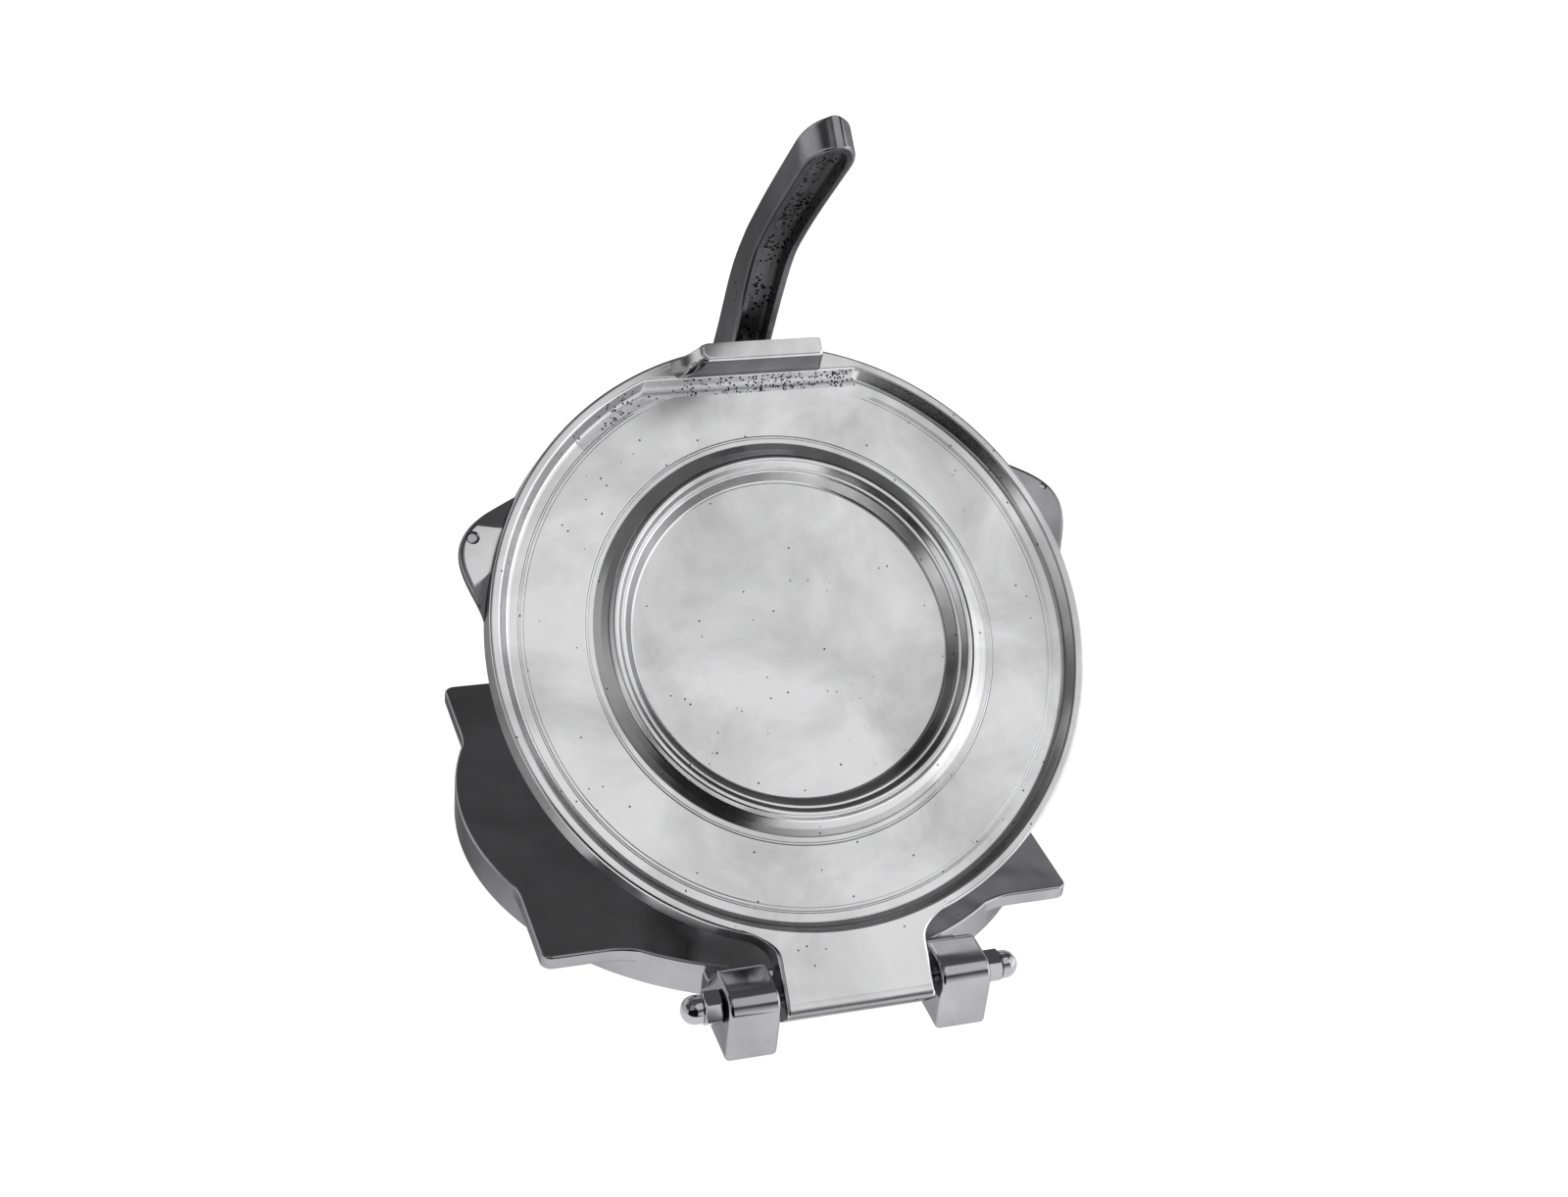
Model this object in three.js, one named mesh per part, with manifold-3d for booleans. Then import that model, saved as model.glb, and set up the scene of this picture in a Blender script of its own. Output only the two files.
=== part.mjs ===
// Tortilla press of polished cast aluminium, with its plate raised and its lever standing behind it.
// Millimetres, +Z up, +X to the right, with the plate's hinge near (-Y) and the lever far (+Y).
// The pieces are drawn about the middle of the base disc, on the table. At the end they move
// together by `frameShift`, so that the origin lies under the middle of the overall length.

import * as THREE from 'three';
import { mergeVertices } from 'three/addons/utils/BufferGeometryUtils.js';
import Module from 'manifold-3d';

const wasm = await Module();
wasm.setup();

// Fits shared by all pieces
const seatGap = 0.3;
const overrun = 2;
const boreClearance = 0.3;
const frameShift = 6.2;

// Rods and domed nuts
const rodRadius = 3;
const nutAcrossFlats = 10.2;
const nutHexHeight = 5.8;
const nutChamfer = 0.6;
const nutDomeRadius = 4.6;
const nutNeckHeight = 2.2;
const nutThreadDepth = 9;
const nutEndGap = 0.5;
const nutTurn = 42;

// Base casting
const baseRadius = 100.8;
const baseHeight = 13;
const basePanel = 6;
const baseRimWidth = 7.5;
const baseRimDraft = 1.6;
const baseCove = 2.4;
const baseTopEdge = 0.8;
const baseFootEdge = 1.2;
const wingSideShare = 0.905;
const wingEndShare = 0.78;
const wingThickness = 5.2;
const wingCorner = 3.5;
const wingSideBlend = 9;
const wingEndBlend = 13;
const castEdge = 0.8;

// Hinge of the plate, at the near side of the base
const hingeStandoff = 13.2;
const hingeHeight = 15;
const openAngle = 42.3;
const hingeLug = {
  inner: 26.7,
  outer: 43.5,
  ahead: 9.8,
  crown: 8.4,
  noseRadius: 5,
  toeRadius: 1.6,
  shoulder: 5,
  rise: 12,
};

// Ears of the lever, at the far side of the base
const leverOffset = 3;
const leverStandoff = 13.2;
const leverPivotHeight = 21;
const leverSideGap = 0.8;
const earThickness = 10;
const leverEar = {
  ahead: 10,
  crown: 9.5,
  noseRadius: 8,
  toeRadius: 1.6,
  shoulder: 5.5,
  rise: 7,
};

// Top plate, heights from its pressing face
const plateMargin = 0.8;
const plateSkirt = 0.5;
const rimHeight = 9.5;
const rimOuterEdge = 0.8;
const rimCrestWidth = 2.6;
const rimCoveWidth = 4.4;
const panelHeight = 5.4;
const ringBaseRadius = 66.3;
const ringShoulderRadius = 61.3;
const ringShoulderHeight = 7.5;
const ringCrestRadius = 59.3;
const ringCrestHeight = 9.2;
const ringCrestWidth = 0.6;
const ringStepRadius = 57;
const ringStepHeight = 7.2;
const ringStepWidth = 0.5;
const medallionRadius = 53.2;
const medallionHeight = 3;
const medallionCove = 1;

// Hinge tongue of the top plate
const tongueHalfWidth = 24.7;
const tongueFlare = 6;
const knuckleRadius = 7.8;
const tongueEdge = 1.8;

// Ledge on the far edge of the top plate, where the lever presses
const ledgeSetback = 1.8;
const ledgeHeight = 8.2;
const ledgeTopDepth = 6.2;
const ledgeFrontLean = 2.6;
const ledgeTopLeft = 15.5;
const ledgeTopRight = 21.8;
const ledgeFootLeft = 26;
const ledgeFootRight = 24.6;
const ledgeEdge = 1;
const ledgeBackEdge = 0.5;
const webSetback = 8.6;
const webCove = 3.6;
const webHalfWidth = 40;

// Side lobes of the top plate, where it is gripped
const lobeAngle = 21.5;
const lobeHalfSpan = 15;
const lobeReach = 11.4;
const lobeThickness = 4.4;
const lobeEdge = 1.2;
const lobeRoot = 8;

// Lever: its side outline is measured from its own pivot, at the raised rest
const leverWidth = 14;
const leverEdge = 1;
const leverBossRadius = 10;
const leverLengthShare = 2.877;
const tipWidth = 17;
const tipRound = 15;
const flareStartShare = 0.58;
const channelRimWidth = 2.6;
const channelDepth = 5.5;
const channelFloorEdge = 1.5;
const channelTipRim = 3.2;

// Stations of the lever from its foot to its tip, as shares of its length: its front edge
const leverFrontShares = [
  [-0.018, 0.029], [0, 0.043], [0.009, 0.055], [-0.014, 0.086], [-0.059, 0.141],
  [-0.114, 0.221], [-0.164, 0.303], [-0.207, 0.386], [-0.24, 0.465], [-0.271, 0.557],
  [-0.294, 0.616], [-0.319, 0.653], [-0.36, 0.702], [-0.433, 0.782], [-0.46, 0.811],
];
// The same stations on its back edge
const leverBackShares = [
  [0.024, -0.024], [0.053, -0.005], [0.074, 0.028], [0.06, 0.088], [-0.009, 0.178],
  [-0.063, 0.255], [-0.114, 0.33], [-0.156, 0.41], [-0.187, 0.486], [-0.222, 0.577],
  [-0.258, 0.636], [-0.29, 0.676], [-0.333, 0.726], [-0.406, 0.807], [-0.433, 0.836],
];
const channelStartShare = 0.24;

// Smoothness of the facets
const discSegments = 96;
const rodSegments = 24;
const curveSegments = 6;
const bendSteps = 3;
const leverSamples = 36;
const roundSteps = 6;

const aluminium = new THREE.MeshStandardMaterial({ color: 0xb9b9b9, roughness: 0.22, metalness: 1 });
const darkAluminium = new THREE.MeshStandardMaterial({ color: 0x8f8f8f, roughness: 0.28, metalness: 1 });
const steel = new THREE.MeshStandardMaterial({ color: 0xa2a2a2, roughness: 0.18, metalness: 1 });

// Worked out from the sizes above
const radians = THREE.MathUtils.degToRad;
const boreRadius = rodRadius + boreClearance;
const wingHalfWidth = baseRadius * wingSideShare;
const wingHalfLength = baseRadius * wingEndShare;
const hingeReach = baseRadius + hingeStandoff;
const leverReach = baseRadius + leverStandoff;
const leverLength = baseRadius * leverLengthShare;
const plateRadius = baseRadius - plateMargin;
const ledgeBack = plateRadius - ledgeSetback;
const webFront = ledgeBack - webSetback;
const axisAbovePlate = hingeHeight - baseHeight - seatGap;
const earInner = leverWidth / 2 + leverSideGap;
const earOuter = earInner + earThickness;

// A closed solid from a three.js geometry
function solid(geometry) {
  const bare = geometry.clone();
  for (const name of Object.keys(bare.attributes)) {
    if (name !== 'position') bare.deleteAttribute(name);
  }
  const merged = mergeVertices(bare);
  const corners = merged.index.array;
  const triangles = [];
  for (let i = 0; i < corners.length; i += 3) {
    const [a, b, c] = [corners[i], corners[i + 1], corners[i + 2]];
    if (a !== b && b !== c && c !== a) triangles.push(a, b, c);
  }
  const mesh = new wasm.Mesh({
    numProp: 3,
    vertProperties: new Float32Array(merged.attributes.position.array),
    triVerts: new Uint32Array(triangles),
  });
  return new wasm.Manifold(mesh);
}

// A three.js mesh from a closed solid
function piece(name, body, material) {
  const data = body.getMesh();
  const geometry = new THREE.BufferGeometry();
  geometry.setAttribute('position', new THREE.BufferAttribute(data.vertProperties, 3));
  geometry.setIndex(new THREE.BufferAttribute(data.triVerts, 1));
  geometry.computeVertexNormals();
  const mesh = new THREE.Mesh(geometry, material);
  mesh.name = name;
  return mesh;
}

// Points of a smooth bend from start to end, pulled towards each corner in turn
function bend(start, corners, end) {
  const [a, b, c, d] = [start, ...corners, end].map(([x, y]) => new THREE.Vector2(x, y));
  const curve = d ? new THREE.CubicBezierCurve(a, b, c, d) : new THREE.QuadraticBezierCurve(a, b, c);
  return curve.getPoints(bendSteps).map((p) => [p.x, p.y]);
}

// A profile of [radius, height] pairs turned about the Z axis, from the bottom of the axis to its top
function turned(profile, segments = discSegments) {
  const points = profile.map(([radius, height]) => new THREE.Vector2(radius, height));
  return new THREE.LatheGeometry(points, segments).rotateX(Math.PI / 2);
}

// A disc or drum between two heights
function drum(radius, low, high, segments = discSegments) {
  return turned([[0, low], [radius, low], [radius, high], [0, high]], segments);
}

// A drum that lies along X, round the line at the given y and z
function rodAlongX(radius, from, to, y, z, segments = rodSegments) {
  return drum(radius, from, to, segments).rotateY(Math.PI / 2).translate(0, y, z);
}

// Options of an extrusion whose two end edges are rounded by `edge` inside the outline
function extrusion(depth, edge = 0) {
  if (edge === 0) return { depth, bevelEnabled: false, curveSegments };
  return {
    depth: depth - 2 * edge,
    bevelEnabled: true,
    bevelThickness: edge,
    bevelSize: edge,
    bevelOffset: -edge,
    bevelSegments: 2,
    curveSegments,
  };
}

// An outline in the XY plane raised between two heights
function raised(outline, low, high, edge = 0) {
  return new THREE.ExtrudeGeometry(outline, extrusion(high - low, edge)).translate(0, 0, low + edge);
}

// An outline drawn in the YZ plane, carried along X
function carried(outline, from, to, edge = 0) {
  const turn = new THREE.Matrix4().makeBasis(
    new THREE.Vector3(0, 1, 0),
    new THREE.Vector3(0, 0, 1),
    new THREE.Vector3(1, 0, 0),
  );
  const geometry = new THREE.ExtrudeGeometry(outline, extrusion(to - from, edge));
  return geometry.applyMatrix4(turn).translate(from + edge, 0, 0);
}

// Outline of one wing seen from above, with its root inside the disc
function wingOutline() {
  const sideMeet = Math.sqrt(baseRadius ** 2 - wingHalfWidth ** 2);
  const endMeet = Math.sqrt(baseRadius ** 2 - wingHalfLength ** 2);
  const sideFoot = sideMeet - wingSideBlend;
  const endFoot = endMeet - wingEndBlend;
  const sideX = Math.sqrt(baseRadius ** 2 - sideFoot ** 2);
  const endY = Math.sqrt(baseRadius ** 2 - endFoot ** 2);
  const outline = new THREE.Shape();
  outline.moveTo(sideX - baseRimWidth, sideFoot);
  outline.lineTo(sideX, sideFoot);
  outline.quadraticCurveTo(wingHalfWidth, sideMeet, wingHalfWidth, sideMeet + wingSideBlend);
  outline.lineTo(wingHalfWidth, wingHalfLength - wingCorner);
  outline.quadraticCurveTo(wingHalfWidth, wingHalfLength, wingHalfWidth - wingCorner, wingHalfLength);
  outline.lineTo(endMeet + wingEndBlend, wingHalfLength);
  outline.quadraticCurveTo(endMeet, wingHalfLength, endFoot, endY);
  outline.lineTo(endFoot, endY - baseRimWidth);
  return outline;
}

// Side outline of a lug or ear: `side` is -1 at the near side and 1 at the far side
function lugOutline(size, side, reach, axisHeight) {
  const front = reach + size.ahead;
  const crown = axisHeight + size.crown;
  const shoulder = reach - size.shoulder;
  const foot = shoulder - size.rise;
  const root = baseRadius - baseRimWidth;
  const outline = new THREE.Shape();
  outline.moveTo(side * root, 0);
  outline.lineTo(side * (front - size.toeRadius), 0);
  outline.quadraticCurveTo(side * front, 0, side * front, size.toeRadius);
  outline.lineTo(side * front, crown - size.noseRadius);
  outline.quadraticCurveTo(side * front, crown, side * (front - size.noseRadius), crown);
  outline.lineTo(side * shoulder, crown);
  const middle = (shoulder + foot) / 2;
  outline.bezierCurveTo(side * middle, crown, side * middle, baseHeight, side * foot, baseHeight);
  outline.lineTo(side * root, baseHeight);
  return outline;
}

// Base casting: a disc with a hollow underside, its wings, the hinge lugs and the ears of the lever
function makeBase() {
  const hollowHeight = baseHeight - basePanel;
  const hollowRadius = baseRadius - baseRimWidth;
  const wall = hollowRadius - baseRimDraft;
  const topEdge = baseHeight - baseTopEdge;
  const disc = solid(turned([
    [0, hollowHeight],
    ...bend([wall - baseCove, hollowHeight], [[wall, hollowHeight]], [wall, hollowHeight - baseCove]),
    [hollowRadius, 0],
    ...bend([baseRadius - baseFootEdge, 0], [[baseRadius, 0]], [baseRadius, baseFootEdge]),
    ...bend([baseRadius, topEdge], [[baseRadius, baseHeight]], [baseRadius - baseTopEdge, baseHeight]),
    [0, baseHeight],
  ]));
  const wing = solid(raised(wingOutline(), baseHeight - wingThickness, baseHeight, castEdge));
  const rightWings = wing.add(wing.mirror([0, 1, 0]));
  let base = disc.add(rightWings).add(rightWings.mirror([1, 0, 0]));
  const lug = lugOutline(hingeLug, -1, hingeReach, hingeHeight);
  base = base.add(solid(carried(lug, hingeLug.inner, hingeLug.outer, castEdge)));
  base = base.add(solid(carried(lug, -hingeLug.outer, -hingeLug.inner, castEdge)));
  const ear = lugOutline(leverEar, 1, leverReach, leverPivotHeight);
  base = base.add(solid(carried(ear, leverOffset + earInner, leverOffset + earOuter, castEdge)));
  base = base.add(solid(carried(ear, leverOffset - earOuter, leverOffset - earInner, castEdge)));
  const lugEnd = hingeLug.outer + overrun;
  const hingeBore = rodAlongX(boreRadius, -lugEnd, lugEnd, -hingeReach, hingeHeight);
  const earEnd = earOuter + overrun;
  const bore = rodAlongX(boreRadius, leverOffset - earEnd, leverOffset + earEnd, leverReach, leverPivotHeight);
  return base.subtract(solid(hingeBore)).subtract(solid(bore));
}

// Section of the top plate from its axis: panel, ring and sunk medallion inside a raised rim
function plateProfile() {
  const skirt = plateRadius + plateSkirt;
  const outerEdge = [plateRadius, rimHeight - rimOuterEdge];
  const crestInner = plateRadius - rimCrestWidth;
  const coveMiddle = crestInner - rimCoveWidth / 2;
  const coveCorners = [[coveMiddle, rimHeight], [coveMiddle, panelHeight]];
  return [
    [0, 0],
    ...bend([skirt - rimOuterEdge, 0], [[skirt, 0]], [skirt, rimOuterEdge]),
    ...bend(outerEdge, [[plateRadius, rimHeight]], [plateRadius - rimOuterEdge, rimHeight]),
    ...bend([crestInner, rimHeight], coveCorners, [crestInner - rimCoveWidth, panelHeight]),
    [ringBaseRadius, panelHeight],
    [ringShoulderRadius, ringShoulderHeight],
    [ringCrestRadius + ringCrestWidth, ringCrestHeight],
    [ringCrestRadius, ringCrestHeight],
    [ringStepRadius + ringStepWidth, ringStepHeight],
    [ringStepRadius, ringStepHeight],
    [medallionRadius, medallionHeight + medallionCove],
    [medallionRadius - medallionCove, medallionHeight],
    [0, medallionHeight],
  ];
}

// Hinge tongue: its outline from above, cut to its outline from the side with the round knuckle
function makeTongue() {
  const rimInside = plateRadius - (rimCrestWidth + rimOuterEdge) / 2;
  const nose = hingeReach + knuckleRadius;
  const meet = Math.sqrt(plateRadius ** 2 - tongueHalfWidth ** 2);
  const flareX = tongueHalfWidth + tongueFlare;
  const flareY = Math.sqrt(rimInside ** 2 - flareX ** 2);
  const half = new THREE.Path();
  half.moveTo(tongueHalfWidth, -nose - overrun);
  half.lineTo(tongueHalfWidth, -meet - tongueFlare);
  half.quadraticCurveTo(tongueHalfWidth, -meet, flareX, -flareY);
  half.absarc(0, 0, rimInside, -Math.acos(flareX / rimInside), -Math.PI / 2, true);
  const right = half.getPoints(curveSegments);
  const left = right.map((p) => new THREE.Vector2(-p.x, p.y)).reverse();
  const fromAbove = new THREE.Shape([...right, ...left]);
  const side = new THREE.Shape();
  const undersideAngle = Math.asin(axisAbovePlate / knuckleRadius);
  side.moveTo(0, 0);
  side.lineTo(-hingeReach + knuckleRadius * Math.cos(undersideAngle), 0);
  side.absarc(-hingeReach, axisAbovePlate, knuckleRadius, -undersideAngle, -Math.PI, true);
  side.lineTo(-nose, rimHeight - tongueEdge);
  side.quadraticCurveTo(-nose, rimHeight, -nose + tongueEdge, rimHeight);
  side.lineTo(0, rimHeight);
  const low = axisAbovePlate - knuckleRadius - overrun;
  const block = solid(raised(fromAbove, low, rimHeight + overrun));
  return block.intersect(solid(carried(side, -2 * tongueHalfWidth, 2 * tongueHalfWidth)));
}

// Ledge for the lever, with the straight web between it and the panel
function makeLedge() {
  const inside = plateRadius - (rimCrestWidth + rimOuterEdge) / 2;
  const webMiddle = webFront - webCove / 2;
  const web = new THREE.Shape();
  web.moveTo(webFront - webCove, 0);
  web.lineTo(webFront - webCove, panelHeight);
  web.bezierCurveTo(webMiddle, panelHeight, webMiddle, rimHeight, webFront, rimHeight);
  web.lineTo(ledgeBack, rimHeight);
  web.lineTo(ledgeBack, 0);
  const webBlock = solid(carried(web, -webHalfWidth, webHalfWidth));
  const webSolid = webBlock.intersect(solid(drum(inside, 0, rimHeight)));

  const top = rimHeight + ledgeHeight;
  const front = ledgeBack - ledgeTopDepth;
  const side = new THREE.Shape();
  side.moveTo(front - ledgeFrontLean, rimHeight - overrun);
  side.lineTo(front - ledgeFrontLean, rimHeight);
  side.lineTo(front, top - ledgeEdge);
  side.quadraticCurveTo(front, top, front + ledgeEdge, top);
  side.lineTo(ledgeBack - ledgeBackEdge, top);
  side.lineTo(ledgeBack, top - ledgeBackEdge);
  side.lineTo(ledgeBack, rimHeight - overrun);
  const face = new THREE.Shape();
  face.moveTo(-ledgeFootLeft, rimHeight - overrun);
  face.lineTo(-ledgeFootLeft, rimHeight);
  face.quadraticCurveTo(-ledgeTopLeft - ledgeEdge, top, -ledgeTopLeft, top);
  face.lineTo(ledgeTopRight - ledgeEdge, top);
  face.quadraticCurveTo(ledgeTopRight, top, ledgeTopRight, top - ledgeEdge);
  face.lineTo(ledgeFootRight, rimHeight);
  face.lineTo(ledgeFootRight, rimHeight - overrun);
  const across = new THREE.Matrix4().makeBasis(
    new THREE.Vector3(1, 0, 0),
    new THREE.Vector3(0, 0, 1),
    new THREE.Vector3(0, -1, 0),
  );
  const depth = ledgeTopDepth + ledgeFrontLean + 2 * overrun;
  const faceBlock = new THREE.ExtrudeGeometry(face, extrusion(depth)).applyMatrix4(across);
  faceBlock.translate(0, ledgeBack + overrun, 0);
  const sideBlock = carried(side, -ledgeFootLeft - overrun, ledgeFootRight + overrun);
  return webSolid.add(solid(sideBlock).intersect(solid(faceBlock)));
}

// One side lobe: the rim bulges out and dies away again on both sides
function makeLobe(side) {
  const steps = 16;
  const root = plateRadius - lobeRoot;
  const points = [];
  for (let i = 0; i <= steps; i++) {
    const turn = (2 * i) / steps - 1;
    const angle = radians(lobeAngle + turn * lobeHalfSpan);
    const radius = plateRadius + lobeReach * Math.cos((turn * Math.PI) / 2) ** 2;
    points.push(new THREE.Vector2(side * radius * Math.cos(angle), radius * Math.sin(angle)));
  }
  for (const turn of [1, -1]) {
    const angle = radians(lobeAngle + turn * lobeHalfSpan);
    points.push(new THREE.Vector2(side * root * Math.cos(angle), root * Math.sin(angle)));
  }
  return solid(raised(new THREE.Shape(points), 0, lobeThickness, lobeEdge));
}

// Top plate, lying flat, with the middle of its pressing face at the origin
function makePlate() {
  let plate = solid(turned(plateProfile()));
  const farCut = new THREE.Shape();
  farCut.moveTo(ledgeBack, -overrun);
  farCut.lineTo(ledgeBack + plateRadius, -overrun);
  farCut.lineTo(ledgeBack + plateRadius, rimHeight + overrun);
  farCut.lineTo(ledgeBack, rimHeight + overrun);
  plate = plate.subtract(solid(carried(farCut, -plateRadius, plateRadius)));
  plate = plate.add(makeTongue()).add(makeLedge()).add(makeLobe(1)).add(makeLobe(-1));
  const boreEnd = tongueHalfWidth + overrun;
  const bore = rodAlongX(boreRadius, -boreEnd, boreEnd, -hingeReach, axisAbovePlate);
  return plate.subtract(solid(bore));
}

// A closed body through a run of sections, each a ring of as many points, with flat ends
function lofted(sections) {
  const count = sections[0].length;
  const positions = sections.flat().flatMap((p) => [p.x, p.y, p.z]);
  const index = [];
  for (let i = 0; i + 1 < sections.length; i++) {
    for (let j = 0; j < count; j++) {
      const [a, b] = [i * count + j, i * count + ((j + 1) % count)];
      index.push(a, b, b + count, a, b + count, a + count);
    }
  }
  const last = (sections.length - 1) * count;
  for (let j = 1; j + 1 < count; j++) index.push(0, j + 1, j, last, last + j, last + j + 1);
  const geometry = new THREE.BufferGeometry();
  geometry.setAttribute('position', new THREE.Float32BufferAttribute(positions, 3));
  geometry.setIndex(index);
  return geometry;
}

// A ring round a bar whose front and back are points of the YZ plane, its back corners cut by `backEdge`
function barSection(front, back, half, frontEdge, backEdge) {
  const inward = back.clone().sub(front);
  const depth = inward.length();
  inward.normalize();
  const at = (x, into) => {
    const p = front.clone().addScaledVector(inward, into);
    return new THREE.Vector3(x, p.x, p.y);
  };
  const fore = Math.min(frontEdge, half / 2);
  const aft = Math.min(backEdge, half / 2);
  return [
    at(-half, fore),
    at(-half + fore, 0),
    at(half - fore, 0),
    at(half, fore),
    at(half, depth - aft),
    at(half - aft, depth),
    at(aft - half, depth),
    at(-half, depth - aft),
  ];
}

// Share of the full half width at a distance from a round end of the given radius
function roundEnd(distance, radius) {
  const inside = Math.max(radius - distance, 0) / radius;
  return Math.sqrt(Math.max(1 - inside ** 2, 0));
}

// Distances from a round end at which its sections stand, outermost first
function roundStops(radius) {
  const stops = [];
  for (let i = 1; i <= roundSteps; i++) {
    stops.push(radius * (1 - Math.cos((Math.PI * i) / (2 * roundSteps))));
  }
  return stops;
}

// Lever about its own pivot: a bent bar with a boss at its foot, a round tip and an open channel
function makeLever() {
  const place = ([across, up]) => new THREE.Vector2(across * leverLength, up * leverLength);
  const front = new THREE.SplineCurve(leverFrontShares.map(place));
  const back = new THREE.SplineCurve(leverBackShares.map(place));
  const half = leverWidth / 2;
  const tipRadius = tipWidth / 2;
  const run = front.getPoint(1).distanceTo(front.getPoint(flareStartShare));
  const shareAt = (distance) => 1 - ((1 - flareStartShare) * distance) / run;
  const halfAt = (share) => {
    const flare = Math.max(share - flareStartShare, 0) / (1 - flareStartShare);
    return half + (tipRadius - half) * flare;
  };
  const straight = [];
  const straightEnd = shareAt(tipRound);
  for (let i = 0; i < leverSamples; i++) straight.push((straightEnd * i) / leverSamples);
  const bar = straight.map((t) => barSection(front.getPoint(t), back.getPoint(t), halfAt(t), leverEdge, leverEdge));
  for (const distance of roundStops(tipRound).reverse()) {
    const t = shareAt(distance);
    const width = halfAt(t) * roundEnd(distance, tipRound);
    bar.push(barSection(front.getPoint(t), back.getPoint(t), width, leverEdge, leverEdge));
  }
  let lever = solid(lofted(bar));
  lever = lever.add(solid(rodAlongX(leverBossRadius, -half, half, 0, 0, rodSegments * 2)));

  const groove = [];
  const channelEndShare = shareAt(channelTipRim);
  const addGroove = (t, width) => {
    const [ahead, behind] = [front.getPoint(t), back.getPoint(t)];
    const inward = behind.clone().sub(ahead).normalize();
    const open = ahead.clone().addScaledVector(inward, -overrun);
    const floor = ahead.clone().addScaledVector(inward, channelDepth);
    groove.push(barSection(open, floor, width, 0, channelFloorEdge));
  };
  const footRadius = half - channelRimWidth;
  const endRadius = tipRound - 2 * channelRimWidth;
  const length = (1 - channelStartShare) * leverLength;
  for (const distance of roundStops(footRadius)) {
    addGroove(channelStartShare + distance / length, footRadius * roundEnd(distance, footRadius));
  }
  const [from, to] = [channelStartShare + footRadius / length, channelEndShare - endRadius / length];
  for (let i = 1; i < leverSamples; i++) {
    const t = from + ((to - from) * i) / leverSamples;
    addGroove(t, halfAt(t) - channelRimWidth);
  }
  for (const distance of roundStops(endRadius).reverse()) {
    const t = channelEndShare - distance / length;
    addGroove(t, (halfAt(t) - channelRimWidth) * roundEnd(distance, endRadius));
  }
  lever = lever.subtract(solid(lofted(groove)));
  const boreEnd = half + overrun;
  return lever.subtract(solid(rodAlongX(boreRadius, -boreEnd, boreEnd, 0, 0)));
}

// Domed nut along +Z, its seat at the origin: a chamfered hexagon under a neck and a dome
function makeNut() {
  const cornerRadius = nutAcrossFlats / 2 / Math.cos(Math.PI / 6);
  const hexagon = drum(cornerRadius, 0, nutHexHeight, 6);
  const chamfered = turned([
    [0, 0],
    [cornerRadius - nutChamfer, 0],
    [cornerRadius, nutChamfer],
    [cornerRadius, nutHexHeight - nutChamfer],
    [cornerRadius - nutChamfer, nutHexHeight],
    [0, nutHexHeight],
  ], rodSegments);
  const domeSteps = 4;
  const dome = [[0, nutHexHeight / 2], [nutDomeRadius, nutHexHeight / 2]];
  const domeBase = nutHexHeight + nutNeckHeight;
  for (let i = 0; i <= domeSteps; i++) {
    const angle = ((Math.PI / 2) * i) / domeSteps;
    const radius = i === domeSteps ? 0 : nutDomeRadius * Math.cos(angle);
    dome.push([radius, domeBase + nutDomeRadius * Math.sin(angle)]);
  }
  const bore = solid(drum(boreRadius, -overrun, nutThreadDepth, rodSegments));
  const nut = solid(hexagon).intersect(solid(chamfered)).add(solid(turned(dome, rodSegments)));
  return nut.subtract(bore);
}

// A rod with a nut on each end, clamping faces that stand at `reach` on both sides of the middle
function addBolt(parent, name, reach) {
  const rodEnd = reach + seatGap + nutThreadDepth - nutEndGap;
  parent.add(piece(`${name}_rod`, solid(rodAlongX(rodRadius, -rodEnd, rodEnd, 0, 0)), steel));
  for (const [side, label] of [[-1, 'left'], [1, 'right']]) {
    const nut = piece(`${name}_nut_${label}`, makeNut(), steel);
    nut.rotation.set(radians(nutTurn), (side * Math.PI) / 2, 0);
    nut.position.x = side * (reach + seatGap);
    parent.add(nut);
  }
}

const press = new THREE.Group();
press.add(piece('base_plate', makeBase(), darkAluminium));

const hinge = new THREE.Group();
addBolt(hinge, 'hinge', hingeLug.outer);
hinge.position.set(0, -hingeReach, hingeHeight);
press.add(hinge);

const plateSwing = new THREE.Group();
const plate = piece('top_plate', makePlate(), aluminium);
plate.position.set(0, hingeReach, -axisAbovePlate);
plateSwing.add(plate);
plateSwing.rotation.x = radians(openAngle);
hinge.add(plateSwing);

const leverMount = new THREE.Group();
addBolt(leverMount, 'lever', earOuter);
leverMount.position.set(leverOffset, leverReach, leverPivotHeight);
leverMount.add(piece('lever', makeLever(), darkAluminium));
press.add(leverMount);
press.position.y = -frameShift;

export default press;
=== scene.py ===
"""Tortilla press of polished cast aluminium, dressed around its packed CAD frame.

Each operator builds one piece, or one group of like pieces, in millimetres about the middle of the
base disc, and then sets it in the frame in metres. Run as a script, main() builds them all.
"""

import math

import bmesh
import bpy
import numpy as np
from bpy.props import FloatProperty, FloatVectorProperty, IntProperty, PointerProperty
from mathutils import Matrix, Vector


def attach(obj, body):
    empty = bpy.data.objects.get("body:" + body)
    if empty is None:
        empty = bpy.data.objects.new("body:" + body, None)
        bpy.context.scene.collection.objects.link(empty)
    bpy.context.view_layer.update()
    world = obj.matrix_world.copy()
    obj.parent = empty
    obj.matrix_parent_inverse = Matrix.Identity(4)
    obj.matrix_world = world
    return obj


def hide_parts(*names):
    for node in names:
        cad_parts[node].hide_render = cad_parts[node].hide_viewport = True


bl_info = {
    "name": "Tortilla Press",
    "version": (1, 0, 0),
    "blender": (4, 5, 0),
    "location": "View3D > Sidebar > Tortilla Press",
    "description": "Builds a cast aluminium tortilla press around its CAD frame",
    "category": "Object",
}

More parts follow.
